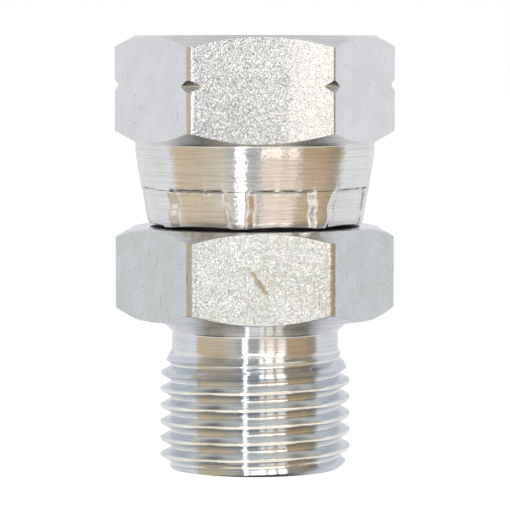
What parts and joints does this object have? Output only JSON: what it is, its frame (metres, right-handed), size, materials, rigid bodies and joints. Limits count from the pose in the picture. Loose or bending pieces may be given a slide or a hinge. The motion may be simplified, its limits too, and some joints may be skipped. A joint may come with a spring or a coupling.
{
  "type": "straight adapter",
  "caption": "Straight hydraulic adapter: male parallel pipe thread, undercut and spanner hexagon below, coned nose held in a crimped swivel nut with a female thread above.",
  "frame": {"origin": "centre of the male end face, on the axis of the flow bore", "axes": "+Z along the axis from the male end towards the mouth of the swivel nut, +X through corners of both hexagons, -Y out of the hexagon flats that face the camera"},
  "size_m": [0.031, 0.027, 0.0476],
  "materials": {
    "zinc_plated_body": "turned steel, zinc plated and passivated, with a faint yellow tint",
    "zinc_plated_nut": "drawn hexagon steel with a turned skirt, zinc plated and passivated",
    "nitrile_rubber": "smooth black moulded nitrile rubber"
  },
  "bodies": {
    "adapter_body": {"adapter_body": "zinc_plated_body", "cone_o_ring": "nitrile_rubber"},
    "swivel_nut": {"swivel_nut": "zinc_plated_nut"}
  },
  "joints": [
    {"name": "nut_spin", "type": "hinge", "parent": "adapter_body", "child": "swivel_nut", "pos_m": [0, 0, 0.0315], "axis": [0, 0, 1], "continuous": true}
  ]
}
